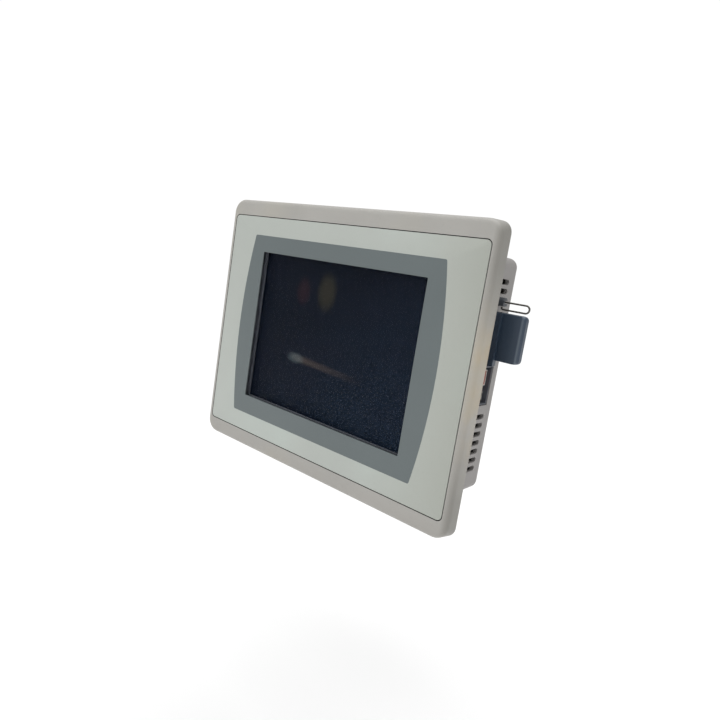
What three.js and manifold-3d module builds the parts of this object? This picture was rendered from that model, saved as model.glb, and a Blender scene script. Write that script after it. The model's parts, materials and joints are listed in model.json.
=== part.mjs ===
// A panel-mounted touch-screen operator terminal.
// Millimetres. +X right and +Z up as an operator sees it, +Y back into the panel.
// The origin is the centre of the plane where the bezel seats on the panel.
import * as THREE from 'three';
import { mergeVertices } from 'three/addons/utils/BufferGeometryUtils.js';
import Module from 'manifold-3d';

// ---------- driving dimensions ----------
// Clearances.
const gap = 0.3; // left between pieces that touch
const openingMargin = 0.5; // around a connector in the housing's wall

// Bezel and the printed overlay on it.
const bezelWidth = 185;
const bezelHeight = 152;
const bezelDepth = 9.6;
const bezelCorner = 7;
const bezelShoulder = 2.8;
const overlayWidth = 177.2;
const overlayHeight = 132.5;
const overlayCorner = 2.6;
const overlayThickness = 0.6;
const windowWidth = 118;
const windowHeight = 89.5;
const windowCorner = 0.6;
const windowRise = 0.7; // the window's centre above the bezel's

// Touch sensor and its flat cable.
const touchThickness = 1.8;
const touchLip = 5; // how far the touch sensor reaches behind the window's edge
const tailWidth = 16;
const tailThickness = 0.3;
const tailSetback = 0.6; // behind the sensor's front
const tailDrop = 2.6; // the cable's lower face below the sensor's edge
const tailMargin = 1; // the cable's slots are this much wider on each side

// Display.
const ribThickness = 1.2; // the web between touch sensor and display
const displayThickness = 2.2;
const displayLip = 4;
const frameWall = 1.2;
const backlightThickness = 6.6;
const backlightGrooves = 5;
const grooveWidth = 8;
const grooveDepth = 1;

// Rear housing.
const housingWidth = 157;
const housingHeight = 126.4;
const housingDepth = 46;
const housingDrop = 1.5; // the housing's centre below the bezel's
const housingWall = 2.2;
const rearWall = 2.8;
const housingCorner = 5;
const rearRound = 4;
const gasketThickness = 1.6;
const gasketWidth = 5;
const gasketInset = 2.4; // the gasket's inner edge from the housing's side

// Vents.
const ventLength = 17;
const ventHeight = 2.8;
const ventPitch = 4.8;
const ventFromRear = 9.2; // the vents' rear ends from the housing's rear
const upperVentTop = 49.1;
const upperVentCount = 3;
const lowerVentTop = -22.4;
const lowerVentCount = 7;
const topVentPitch = 7.7;
const topVentCount = 12;

// Slots for panel levers, in the top and the bottom.
const leverSlotX = 52;
const leverSlotWidth = 12;
const leverSlotLength = 5;
const leverSlotStart = 8;

// Bracket behind the display, with its posts.
const bracketThickness = 1.5;
const bracketMargin = 1; // between the bracket's edge and the housing's inside
const bracketCorner = 3;
const bracketHoleWidth = 24;
const bracketHoleHeight = 60;
const bracketHoleCount = 3;
const postRadius = 3.4;
const postBite = 1; // how far a post's foot goes into what it stands on
const coverPostInset = 6; // from the housing's inside
const thinPostRadius = 2;

// Screws.
const screwRadius = 1.4;
const screwHeadRadius = 2.8;
const screwHeadHeight = 1.8;
const screwSlot = 0.8;
const bracketScrewLength = 5;
const boardScrewLength = 6;
const coverScrewLength = 9;
const earthScrewLength = 6;
const earthX = -30;
const earthZ = -52;

// Boards.
const boardThickness = 1.6;
const boardPlane = 17; // the main board's front face
const boardSideMargin = 12;
const boardEndMargin = 5;
const boardCorner = 1.5;
const boardPostInsetX = 5;
const boardPostInsetZ = 14;
const processorSize = 24;
const processorThickness = 2.2;
const chipWidth = 14;
const chipHeight = 20;
const chipThickness = 1.4;
const chipX = -45;
const chipZ = 35;
const bridgeWidth = 18;
const bridgeHeight = 12;
const bridgeZ = -5;
const capacitorCount = 4;
const capacitorPitch = 9;
const capacitorWidth = 6;
const capacitorHeight = 10;
const capacitorThickness = 2.6;
const capacitorX = -52;
const capacitorZ = -28;
const inverterPlane = 10; // the inverter board's front face
const inverterWidth = 60;
const inverterHeight = 16;
const inverterInset = 8; // the inverter's middle below the main board's top edge
const inverterPostX = 20;
const coilWidth = 16;
const coilHeight = 12;
const coilX = -2;
const plugWidth = 6;
const plugHeight = 10;
const plugX = -24;
const driverWidth = 9;
const driverHeight = 8;
const driverX = 22.5;
const coilThickness = 4;
const driverThickness = 3;

// Heat sink.
const sinkX = -14;
const sinkZ = 8;
const sinkSize = 34;
const sinkBase = 2.5;
const finHeight = 12;
const finThickness = 1.2;
const finCount = 7;

// Battery.
const cellRadius = 10;
const cellThickness = 3.2;
const batteryX = 28;
const batteryZ = -34;
const holderWall = 1.4;
const holderFloor = 1;
const holderDepth = 5;
const holderNotch = 8;

// Memory card and its socket.
const cardWidth = 20;
const cardLength = 30;
const cardThickness = 2.1;
const cardFromRear = 12;
const cardSetback = 0.6; // the card's outer edge inside the housing's side
const cardSlotMargin = 0.7;
const gripLength = 1.2;
const gripSetback = 1.8;
const gripDepth = 0.4;
const socketWall = 2;
const socketCover = 1.95; // the socket's material over each of the card's faces
const socketBack = 3;
const footSetback = 0.5;

// Card door and its hinge.
const doorThickness = 5.6;
const doorReach = 15.4; // from the pivot to the free edge
const doorBottom = 9.9;
const doorTop = 33.9;
const doorPivotFromRear = 20.6;
const doorPinRadius = 0.8;
const doorPinSetback = 0.2; // the pin's ends inside the ears
const doorBevel = 1.1;
const doorBevelRun = 1.8;
const doorCorner = 2.2;
const earHeight = 2.8;
const leafThickness = 2;
const leafOverhang = 1;

// Wire bail above the door.
const bailWire = 0.95; // wire diameter
const bailTop = 39; // the upper leg's height
const bailSpan = 3.7; // between the legs
const bailReach = 15; // from the pivot to the loop's outer edge
const bailFromRear = 17;
const bailBend = 0.9;
const bailEnd = 0.5; // the wire's ends from the pivot's middle
const bailSteps = 44;
const bailSides = 8;
const bossRadius = 2.25;
const bossDepth = 3.4;
const bossSkirt = 2; // the boss below its upper leg
const bossSlack = 4.3; // the bore's length below the upper leg
const bossBack = 1.9; // the bail's pivot from the back of its boss

// Port bay in the right side.
const bayTop = 5;
const bayBottom = -16;
const bayFromRear = 8.6;
const bayLength = 20;
const bayDepth = 10;
const bayWall = 0.8;
const bayRecess = 0.4; // the insert's rim behind the housing's side
const portReach = 5.2; // the socket and the switch in front of their board
const usbWidth = 13.1;
const usbHeight = 5.7;
const usbWall = 0.5;
const usbFloor = 1;
const tongueSetback = 0.6;
const tongueMargin = 0.6;
const tongueThickness = 1.7;
const tongueLift = 0.2;
const switchRise = 10; // the mode switch's foot above the bay's foot
const switchHeight = 8.4;
const switchTravel = 2;
const switchSlotWidth = 4;
const switchSlotDepth = 1.8;
const switchSlotEnd = 1;
const sliderSetback = 0.2;
const leverWidth = 1.6;
const leverHeight = 1.4;
const leverRise = 0.7;
const leverOut = 1;

// Connectors in the bottom.
const ethernetX = -8;
const jackWidth = 16;
const jackDepth = 13.4;
const jackHeight = 18;
const jackWall = 2.2;
const jackMouthStart = 2;
const jackMouthEnd = 11;
const jackMouthHeight = 13;
const latchWidth = 6;
const latchStart = 10.5;
const latchEnd = 12.4;
const latchHeight = 10;
const serialX = 16;
const serialWidth = 31;
const serialDepth = 12.4;
const serialLift = 3;
const serialHeight = 15;
const shellWidth = 18;
const shellDepth = 8.6;
const shellDrop = 2.6;
const shellWall = 0.7;
const shellFloor = 2.2;
const pinRadius = 0.5;
const pinLength = 5;
const pinPitch = 2.75;
const pinRowPitch = 2.8;
const longRowPins = 5;
const powerX = -48;
const headerWidth = 18;
const headerDepth = 12;
const headerHeight = 14;
const headerWall = 1;
const headerFloor = 2.5;
const terminalCount = 3;
const terminalPitch = 5.08;
const bladeSize = 1;
const bladeStart = 4;
const plugBodyHeight = 11;
const plugOverhang = 2.3; // the plug's outer part beyond its body
const plugOuterHeight = 7;
const plugBodyDrop = 0.6;
const plugSocket = 1.8;
const plugSocketStart = 2.5;
const terminalScrewRadius = 1.7;
const terminalScrewDepth = 1.5;
const terminalScrewDrop = 3;
const wireHoleWidth = 2.8;
const wireHoleDepth = 4;
const wireHoleHeight = 3;

// Rating plate on the rear.
const labelWidth = 58;
const labelHeight = 34;
const labelCorner = 2;
const labelThickness = 0.5;
const labelX = 22;
const labelZ = 4;

// Modelling steps.
const segments = 5; // a quarter arc's steps
const roundSteps = 16;
const holeSteps = 12;
const hingeSteps = 28;
const roundLayers = 3; // the steps of a rounded edge
const past = 1; // how far a cutting shape runs past the face it opens
const bury = 0.2; // how deep joined shapes go into each other

// ---------- surfaces: colour, roughness, metalness ----------
const paint = {
  bezel: [0xa5a39e, 0.55, 0],
  overlay: [0xb0b4ad, 0.45, 0],
  touchGlass: [0x141a28, 0.1, 0],
  amber: [0xb07a30, 0.4, 0],
  display: [0x0c1018, 0.15, 0],
  steel: [0xb8babc, 0.38, 0.9],
  light: [0xe4e4e0, 0.5, 0],
  board: [0x2c6b45, 0.5, 0.1],
  aluminium: [0x9a9da0, 0.4, 0.9],
  darkPlastic: [0x2b2c2e, 0.55, 0],
  card: [0x1c2a44, 0.45, 0],
  door: [0x23303c, 0.5, 0],
  wire: [0x333230, 0.35, 0.8],
  insert: [0x3a3c40, 0.6, 0],
  switchRed: [0x9c3a34, 0.5, 0],
  slider: [0xe8e6e0, 0.5, 0],
  header: [0x2f4f3a, 0.55, 0],
  plug: [0x3f7a52, 0.55, 0],
  housing: [0xa5a09d, 0.6, 0],
  rubber: [0x2a2a2a, 0.9, 0],
  label: [0xd8d8d4, 0.4, 0],
  brass: [0xc8b060, 0.35, 1],
  coverScrew: [0x4a4a4a, 0.4, 0.9],
};

// ---------- planes, front to back ----------
const front = -bezelDepth;
const overlayBack = front + overlayThickness;
const touchFront = overlayBack + gap;
const touchBack = touchFront + touchThickness;
const ribFront = touchBack + gap;
const ribBack = ribFront + ribThickness;
const displayFront = ribBack + gap;
const displayBack = displayFront + displayThickness;
const backlightFront = displayBack + gap;
const backlightBack = backlightFront + backlightThickness;
const bracketFront = backlightBack + gap;
const bracketBack = bracketFront + bracketThickness;
const boardBack = boardPlane + boardThickness;
const boardTop = boardBack + gap; // what stands on the main board starts here
const rearInside = housingDepth - rearWall;
const rearFace = housingDepth + gap; // what is fixed to the rear starts here

// ---------- sizes and places worked out from those above ----------
const touchWidth = windowWidth + 2 * touchLip;
const touchHeight = windowHeight + 2 * touchLip;
const touchBottom = windowRise - touchHeight / 2;
const tailBottom = touchBottom - tailDrop;
const tailHalf = tailWidth / 2;
const tailSlotHalf = tailHalf + tailMargin;
const displayWidth = windowWidth + 2 * displayLip;
const displayHeight = windowHeight + 2 * displayLip;
const frameWidth = displayWidth + 2 * (gap + frameWall);
const frameHeight = displayHeight + 2 * (gap + frameWall);
const innerWidth = housingWidth - 2 * housingWall;
const innerHeight = housingHeight - 2 * housingWall;
const sideX = housingWidth / 2;
const wallX = innerWidth / 2;
const housingZ = -housingDrop;
const bottomZ = housingZ - housingHeight / 2;
const innerBottomZ = housingZ - innerHeight / 2;
const innerTopZ = housingZ + innerHeight / 2;
const boardWidth = innerWidth - 2 * boardSideMargin;
const boardHeight = innerHeight - 2 * boardEndMargin;
const inverterZ = housingZ + boardHeight / 2 - inverterInset;
const postX = (frameWidth / 2 + gap + wallX) / 2; // clear of the display frame
const postZ = frameHeight / 3;
const coverX = wallX - coverPostInset;
const coverZ = innerHeight / 2 - coverPostInset;
const boardPostX = boardWidth / 2 - boardPostInsetX;
const boardPostZ = boardHeight / 2 - boardPostInsetZ;
const ventEnd = housingDepth - ventFromRear;
const ventStart = ventEnd - ventLength;
const cardY = housingDepth - cardFromRear;
const cardZ = (doorTop + doorBottom) / 2;
const cardOuter = sideX - cardSetback;
const cardInner = cardOuter - cardLength;
const doorHalf = doorThickness / 2;
const doorHeight = doorTop - doorBottom;
const earBottom = doorBottom - gap - earHeight;
const doorPivot = [sideX + gap + doorHalf, housingDepth - doorPivotFromRear, 0];
const bailPivot = [sideX + gap + bossBack, housingDepth - bailFromRear, bailTop - bailSpan / 2];
const bayBack = housingDepth - bayFromRear;
const bayFront = bayBack - bayLength;
const bayFloor = sideX - bayDepth;
const bayInnerFront = bayFront + bayWall;
const bayInnerBack = bayBack - bayWall;
const portX = bayFloor + 2 * gap + boardThickness;
const portY = bayInnerBack - 2 * gap - usbWidth;
const usbBottom = bayBottom + bayWall + 2 * gap;
const switchBottom = bayBottom + switchRise;
const sliderBottom = switchSlotEnd + gap;
const sliderLength = switchHeight - 2 * sliderBottom - switchTravel;
const connectorZ = innerBottomZ + gap;
const corners = [[-1, 1], [1, 1], [-1, -1], [1, -1]];

const wasm = await Module();
wasm.setup();

// ---------- solids ----------
function solid(geometry) {
  const bare = geometry.clone();
  bare.deleteAttribute('normal');
  bare.deleteAttribute('uv');
  const merged = mergeVertices(bare, 1e-4);
  const mesh = new wasm.Mesh({
    numProp: 3,
    vertProperties: new Float32Array(merged.attributes.position.array),
    triVerts: new Uint32Array(merged.index.array),
  });
  return new wasm.Manifold(mesh);
}

function geometryOf(manifold) {
  const mesh = manifold.getMesh();
  const geometry = new THREE.BufferGeometry();
  geometry.setAttribute('position', new THREE.BufferAttribute(new Float32Array(mesh.vertProperties), 3));
  geometry.setIndex(new THREE.BufferAttribute(new Uint32Array(mesh.triVerts), 1));
  geometry.computeVertexNormals();
  return geometry;
}

function join(...geometries) {
  return geometryOf(geometries.map(solid).reduce((whole, next) => whole.add(next)));
}

function cut(geometry, ...tools) {
  return geometryOf(tools.map(solid).reduce((whole, tool) => whole.subtract(tool), solid(geometry)));
}

function common(geometry, other) {
  return geometryOf(solid(geometry).intersect(solid(other)));
}

// ---------- outlines and simple shapes ----------
// The corner may be half the height: the sides then keep a hair of straight edge.
function roundedRectangle(width, height, corner) {
  const hair = 0.01;
  const x = width / 2;
  const y = height / 2;
  const r = Math.min(corner, x - hair, y - hair);
  const shape = new THREE.Shape();
  shape.moveTo(-x + r, -y);
  shape.lineTo(x - r, -y);
  shape.absarc(x - r, -y + r, r, -Math.PI / 2, 0);
  shape.lineTo(x, y - r);
  shape.absarc(x - r, y - r, r, 0, Math.PI / 2);
  shape.lineTo(-x + r, y);
  shape.absarc(-x + r, y - r, r, Math.PI / 2, Math.PI);
  shape.lineTo(-x, -y + r);
  shape.absarc(-x + r, -y + r, r, Math.PI, Math.PI * 1.5);
  return shape;
}

function box(x0, x1, y0, y1, z0, z1) {
  return new THREE.BoxGeometry(x1 - x0, y1 - y0, z1 - z0)
    .translate((x0 + x1) / 2, (y0 + y1) / 2, (z0 + z1) / 2);
}

// A box from y0 to y1, centred on x and z.
function slab(width, height, y0, y1, x = 0, z = 0) {
  return box(x - width / 2, x + width / 2, y0, y1, z - height / 2, z + height / 2);
}

// A slab with rounded corners.
function plate(width, height, corner, y0, y1, x = 0, z = 0) {
  const shape = roundedRectangle(width, height, corner);
  const sweep = { depth: y1 - y0, bevelEnabled: false, curveSegments: segments };
  return new THREE.ExtrudeGeometry(shape, sweep).rotateX(Math.PI / 2).translate(x, y1, z);
}

// A plate from y = flat to y = end whose edges are rounded over at the end, in steps.
function roundedPlate(width, height, corner, flat, end, round, z = 0) {
  const towards = Math.sign(end - flat);
  const layer = (inset, stop) => plate(width - 2 * inset, height - 2 * inset, corner - inset,
    Math.min(flat, stop), Math.max(flat, stop), 0, z);
  const layers = [layer(0, end - towards * round)];
  for (let i = 0; i < roundLayers; i += 1) {
    const inset = round * (1 - Math.sin((i + 0.5) / roundLayers * Math.PI / 2));
    const stop = end - towards * round * (1 - Math.cos(i / roundLayers * Math.PI / 2));
    layers.push(layer(inset, stop));
  }
  return join(...layers);
}

// Round rods along Y and Z, from start to end.
function rodY(radius, y0, y1, x = 0, z = 0, steps = roundSteps) {
  return new THREE.CylinderGeometry(radius, radius, y1 - y0, steps).translate(x, (y0 + y1) / 2, z);
}

function rodZ(radius, z0, z1, x = 0, y = 0, steps = roundSteps) {
  return new THREE.CylinderGeometry(radius, radius, z1 - z0, steps)
    .rotateX(Math.PI / 2).translate(x, y, (z0 + z1) / 2);
}

// A hole along Y that a screw passes through.
function screwHole(y0, y1, x, z) {
  return rodY(screwRadius + gap, y0, y1, x, z, holeSteps);
}

// A post along Y bored from its end for a screw that reaches down to tip.
function boredPost(y0, y1, x, z, tip) {
  return cut(rodY(postRadius, y0, y1, x, z), screwHole(tip - past, y1 + past, x, z));
}

function screw(length) {
  const head = rodY(screwHeadRadius, 0, screwHeadHeight);
  const shank = rodY(screwRadius, -length, bury, 0, 0, holeSteps);
  const across = 2 * (screwHeadRadius + past);
  return cut(join(head, shank), slab(across, screwSlot, screwHeadHeight / 2, screwHeadHeight + past));
}

// ---------- bezel, overlay, touch sensor ----------
function postPlaces() {
  return corners.map(([i, k]) => [i * postX, k * postZ]);
}

function frontBezel() {
  const body = roundedPlate(bezelWidth, bezelHeight, bezelCorner, 0, front, bezelShoulder);
  const hollow = cut(
    body,
    plate(overlayWidth + 2 * gap, overlayHeight + 2 * gap, overlayCorner + gap, front - past, touchFront),
    slab(touchWidth + 2 * gap, touchHeight + 2 * gap, front - past, ribFront, 0, windowRise),
    slab(windowWidth, windowHeight, front - past, past, 0, windowRise),
    slab(frameWidth + 2 * gap, frameHeight + 2 * gap, ribBack, past, 0, windowRise),
    box(-tailSlotHalf, tailSlotHalf, touchFront, past, tailBottom - tailMargin, touchBottom + past),
    gasketRing(gap, past),
  );
  const tip = bracketBack + gap - bracketScrewLength;
  const posts = postPlaces().map(([x, z]) => boredPost(-postBite, bracketFront - gap, x, z, tip));
  return join(hollow, ...posts);
}

// The gasket lies in a groove on the bezel's back. A margin above 0 makes the groove itself.
function gasketRing(margin, reach) {
  const width = housingWidth + 2 * gasketInset;
  const height = housingHeight + 2 * gasketInset;
  const wide = 2 * (gasketWidth + margin);
  const start = -gasketThickness - margin;
  return cut(
    plate(width + wide, height + wide, housingCorner + gasketWidth, start, reach, 0, housingZ),
    plate(width - 2 * margin, height - 2 * margin, housingCorner, start - past, reach + past, 0, housingZ),
  );
}

function frontOverlay() {
  const sheet = plate(overlayWidth, overlayHeight, overlayCorner, front, overlayBack);
  return cut(sheet, plate(windowWidth, windowHeight, windowCorner, front - past, 0, 0, windowRise));
}

// The cable leaves the sensor downward and runs back to the main board.
function touchTail() {
  const start = touchFront + tailSetback;
  return join(
    box(-tailHalf, tailHalf, start, start + tailThickness, tailBottom, touchBottom - gap),
    box(-tailHalf, tailHalf, start, boardPlane - gap, tailBottom, tailBottom + tailThickness),
  );
}

// ---------- display ----------
function displayFrame() {
  return cut(
    slab(frameWidth, frameHeight, displayFront, backlightBack, 0, windowRise),
    slab(displayWidth + 2 * gap, displayHeight + 2 * gap, displayFront - past, backlightBack + past,
      0, windowRise),
  );
}

function displayBacklight() {
  const tray = slab(displayWidth, displayHeight, backlightFront, backlightBack, 0, windowRise);
  const grooves = [];
  for (let i = 0; i < backlightGrooves; i += 1) {
    const x = (i - (backlightGrooves - 1) / 2) * displayWidth / (backlightGrooves + 1);
    const start = backlightBack - grooveDepth;
    grooves.push(slab(grooveWidth, displayHeight * 2 / 3, start, backlightBack + past, x, windowRise));
  }
  return cut(tray, ...grooves);
}

// ---------- bracket and boards ----------
function displayBracket() {
  const width = innerWidth - 2 * bracketMargin;
  const height = innerHeight - 2 * bracketMargin;
  const sheet = plate(width, height, bracketCorner, bracketFront, bracketBack, 0, housingZ);
  const from = bracketFront - past;
  const to = bracketBack + past;
  const holes = postPlaces().map(([x, z]) => screwHole(from, to, x, z));
  holes.push(box(-tailSlotHalf, tailSlotHalf, from, to,
    tailBottom - tailMargin, tailBottom + tailThickness + tailMargin));
  for (let i = 0; i < bracketHoleCount; i += 1) {
    const x = (i - (bracketHoleCount - 1) / 2) * displayWidth / bracketHoleCount;
    holes.push(plate(bracketHoleWidth, bracketHoleHeight, bracketCorner, from, to, x, windowRise));
  }
  const posts = [];
  for (const [i, k] of corners) {
    posts.push(boredPost(bracketFront, boardPlane - gap, i * boardPostX, housingZ + k * boardPostZ,
      boardTop - boardScrewLength));
    posts.push(boredPost(bracketFront, rearInside - gap, i * coverX, housingZ + k * coverZ,
      rearFace - coverScrewLength));
  }
  for (const side of [-1, 1]) {
    const x = side * inverterPostX;
    posts.push(rodY(thinPostRadius, bracketFront, inverterPlane - gap, x, inverterZ, holeSteps));
  }
  return join(cut(sheet, ...holes), ...posts);
}

function inverterBoard() {
  const top = inverterPlane + boardThickness;
  const part = (x, width, height, thickness) => (
    slab(width, height, top - bury, top + thickness, x, inverterZ)
  );
  return join(
    slab(inverterWidth, inverterHeight, inverterPlane, top, 0, inverterZ),
    part(coilX, coilWidth, coilHeight, coilThickness),
    part(plugX, plugWidth, plugHeight, coilThickness),
    part(driverX, driverWidth, driverHeight, driverThickness),
  );
}

function mainBoard() {
  const holes = corners.map(([i, k]) => screwHole(boardPlane - past, boardBack + past,
    i * boardPostX, housingZ + k * boardPostZ));
  const sheet = plate(boardWidth, boardHeight, boardCorner, boardPlane, boardBack, 0, housingZ);
  const chip = (width, height, thickness, x, z) => (
    slab(width, height, boardBack - bury, boardBack + thickness, x, z)
  );
  const chips = [
    chip(processorSize, processorSize, processorThickness, sinkX, sinkZ),
    chip(chipWidth, chipHeight, chipThickness, chipX, chipZ),
    chip(bridgeWidth, bridgeHeight, chipThickness, chipX, bridgeZ),
  ];
  for (let i = 0; i < capacitorCount; i += 1) {
    const x = capacitorX + i * capacitorPitch;
    chips.push(chip(capacitorWidth, capacitorHeight, capacitorThickness, x, capacitorZ));
  }
  return join(cut(sheet, ...holes), ...chips);
}

function heatSink() {
  const fins = [];
  for (let i = 0; i < finCount; i += 1) {
    const x = (i / (finCount - 1) - 0.5) * (sinkSize - finThickness);
    fins.push(slab(finThickness, sinkSize, sinkBase - bury, finHeight, x));
  }
  return join(slab(sinkSize, sinkSize, 0, sinkBase), ...fins);
}

function batteryHolder() {
  const well = cellRadius + gap;
  const cup = rodY(well + holderWall, 0, holderDepth, 0, 0, hingeSteps);
  const notch = box(-holderNotch / 2, holderNotch / 2, holderFloor, holderDepth + past, 0, 2 * well);
  return cut(cup, rodY(well, holderFloor, holderDepth + past, 0, 0, hingeSteps), notch);
}

// ---------- memory card, its socket and the door over it ----------
// A box centred on the card's height.
function cardBox(x0, x1, y0, y1, height) {
  return box(x0, x1, y0, y1, cardZ - height / 2, cardZ + height / 2);
}

function cardSocket() {
  const low = cardZ - cardWidth / 2;
  const high = cardZ + cardWidth / 2;
  const half = cardThickness / 2 + socketCover;
  const room = cardThickness / 2 + gap;
  const back = cardInner - socketBack;
  const foot = cardY - half + footSetback;
  return cut(
    join(
      box(back, wallX - socketWall, cardY - half, cardY + half, low - socketWall, high + socketWall),
      box(back, boardWidth / 2 - socketWall, boardTop, foot, low - socketWall, high + socketWall),
    ),
    cardBox(cardInner - gap, wallX, cardY - room, cardY + room, cardWidth + 2 * gap),
  );
}

function memoryCard() {
  const face = cardY + cardThickness / 2;
  const gripEnd = cardOuter - gripSetback;
  return cut(
    cardBox(cardInner, cardOuter, face - cardThickness, face, cardWidth),
    cardBox(gripEnd - gripLength, gripEnd, face - gripDepth, face + past, cardWidth * 2 / 3),
  );
}

// The door is drawn open, about its pivot, and closes by turning its free edge back.
function cardDoor() {
  const outline = new THREE.Shape();
  outline.moveTo(0, doorHalf);
  outline.absarc(0, 0, doorHalf, Math.PI / 2, Math.PI * 1.5);
  outline.lineTo(doorReach - doorBevelRun, -doorHalf);
  outline.lineTo(doorReach, -doorHalf + doorBevel);
  outline.lineTo(doorReach, doorHalf - doorBevel);
  outline.lineTo(doorReach - doorBevelRun, doorHalf);
  outline.lineTo(0, doorHalf);
  const sweep = { depth: doorHeight, bevelEnabled: false, curveSegments: hingeSteps / 2 };
  const upright = new THREE.ExtrudeGeometry(outline, sweep).translate(0, 0, doorBottom);
  const face = plate(2 * doorReach, doorHeight, doorCorner, -doorHalf - past, doorHalf + past, 0, cardZ);
  const knuckle = rodZ(doorHalf, doorBottom + earHeight, doorTop - earHeight, 0, 0, hingeSteps);
  return cut(
    join(common(upright, face), knuckle),
    box(-doorHalf - past, doorHalf + 2 * gap, -doorHalf - past, doorHalf + past,
      doorTop - earHeight - gap, doorTop + past),
    rodZ(doorPinRadius + gap, doorBottom - past, doorTop + past, 0, 0, holeSteps),
  );
}

function doorHingeBracket() {
  const back = -doorHalf - gap;
  const pieces = [box(-doorHalf, doorHalf + leafOverhang, back - leafThickness, back, earBottom, doorTop)];
  for (const z of [earBottom, doorTop - earHeight]) {
    pieces.push(rodZ(doorHalf, z, z + earHeight, 0, 0, hingeSteps));
    pieces.push(box(-doorHalf, doorHalf, back - leafThickness / 2, 0, z, z + earHeight));
  }
  return cut(join(...pieces), rodZ(doorPinRadius + gap, earBottom - past, doorTop + past, 0, 0, holeSteps));
}

// ---------- wire bail ----------
function bailPath() {
  const r = bailSpan / 2;
  const points = [];
  const arc = (cx, cz, radius, from, to, steps) => {
    for (let i = 0; i <= steps; i += 1) {
      const a = from + (to - from) * i / steps;
      points.push(new THREE.Vector3(cx + radius * Math.cos(a), 0, cz + radius * Math.sin(a)));
    }
  };
  const corner = r - bailBend;
  points.push(new THREE.Vector3(0, 0, bailEnd));
  arc(bailBend, corner, bailBend, Math.PI, Math.PI / 2, segments - 2);
  points.push(new THREE.Vector3(bailReach / 2, 0, r));
  arc(bailReach - r - bailWire / 2, 0, r, Math.PI / 2, -Math.PI / 2, 2 * segments - 2);
  points.push(new THREE.Vector3(bailReach / 2, 0, -r));
  arc(bailBend, -corner, bailBend, -Math.PI / 2, -Math.PI, segments - 2);
  points.push(new THREE.Vector3(0, 0, -bailEnd));
  return new THREE.CatmullRomCurve3(points, false, 'centripetal');
}

function wireBail() {
  const ring = new THREE.Path().absarc(0, 0, bailWire / 2, 0, 2 * Math.PI).getPoints(bailSides / 2);
  const section = new THREE.Shape(ring.slice(0, -1));
  const sweep = { steps: bailSteps, bevelEnabled: false, extrudePath: bailPath() };
  return new THREE.ExtrudeGeometry(section, sweep);
}

// The boss holds the wire's upper leg where it turns down through the pivot.
function bailBracket() {
  const clear = bailWire / 2 + gap;
  const leg = bailSpan / 2;
  const out = bossDepth - bossBack;
  const round = rodY(bossRadius, -bossBack, out, 0, leg).rotateZ(-Math.PI / 2);
  const skirt = box(-bossBack, out, -bossRadius, bossRadius, leg - bossSkirt, leg);
  const far = bossRadius + past;
  return cut(
    join(round, skirt),
    rodZ(clear, leg - bossSlack, leg + clear, 0, 0, holeSteps),
    box(-clear, far, -clear, far, leg - clear, leg + clear),
  );
}

// ---------- port bay ----------
function portInsert() {
  return cut(
    box(bayFloor - bayWall, sideX - bayRecess, bayFront, bayBack, bayBottom, bayTop),
    box(bayFloor, sideX + past, bayInnerFront, bayInnerBack, bayBottom + bayWall, bayTop - bayWall),
  );
}

function portBoard() {
  const inset = bayWall + gap;
  return box(0, boardThickness, bayFront + inset, bayBack - inset, bayBottom + inset, bayTop - inset);
}

function usbSocket() {
  const side = usbWall + tongueMargin;
  const low = usbWall + tongueLift;
  return join(
    cut(
      box(0, portReach, 0, usbWidth, 0, usbHeight),
      box(usbFloor, portReach + past, usbWall, usbWidth - usbWall, usbWall, usbHeight - usbWall),
    ),
    box(usbFloor - bury, portReach - tongueSetback, side, usbWidth - side, low, low + tongueThickness),
  );
}

function modeSwitchBody() {
  const middle = usbWidth / 2;
  const half = switchSlotWidth / 2;
  return cut(
    box(0, portReach, 0, usbWidth, 0, switchHeight),
    box(portReach - switchSlotDepth, portReach + past, middle - half, middle + half,
      switchSlotEnd, switchHeight - switchSlotEnd),
  );
}

function modeSwitchSlider() {
  const middle = usbWidth / 2;
  const half = switchSlotWidth / 2 - gap;
  const face = portReach - sliderSetback;
  const low = sliderBottom + leverRise;
  return join(
    box(portReach - switchSlotDepth + gap, face, middle - half, middle + half,
      sliderBottom, sliderBottom + sliderLength),
    box(face - bury, portReach + leverOut, middle - leverWidth / 2, middle + leverWidth / 2,
      low, low + leverHeight),
  );
}

// ---------- connectors on the bottom ----------
function ethernetJack() {
  const middle = jackWidth / 2;
  return cut(
    box(0, jackWidth, 0, jackDepth, 0, jackHeight),
    box(jackWall, jackWidth - jackWall, jackMouthStart, jackMouthEnd, -past, jackMouthHeight),
    box(middle - latchWidth / 2, middle + latchWidth / 2, latchStart, latchEnd, -past, latchHeight),
  );
}

function serialPort() {
  const x = serialWidth / 2;
  const y = serialDepth / 2;
  const upright = (width, depth, z0, z1) => (
    box(x - width / 2, x + width / 2, y - depth / 2, y + depth / 2, z0, z1)
  );
  const body = upright(serialWidth, serialDepth, serialLift, serialHeight);
  const shell = upright(shellWidth, shellDepth, -shellDrop, serialLift + past);
  const inside = 2 * shellWall;
  const hollow = upright(shellWidth - inside, shellDepth - inside, -shellDrop - past, shellFloor);
  const pinTop = shellFloor + past;
  const pins = [];
  for (const row of [0, 1]) {
    const count = longRowPins - row;
    for (let i = 0; i < count; i += 1) {
      const along = x + (i - (count - 1) / 2) * pinPitch;
      pins.push(rodZ(pinRadius, pinTop - pinLength, pinTop, along, y + (0.5 - row) * pinRowPitch, holeSteps));
    }
  }
  return join(cut(join(body, shell), hollow), ...pins);
}

function terminalPlaces() {
  const places = [];
  for (let i = 0; i < terminalCount; i += 1) {
    places.push(headerWidth / 2 + (i - (terminalCount - 1) / 2) * terminalPitch);
  }
  return places;
}

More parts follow.
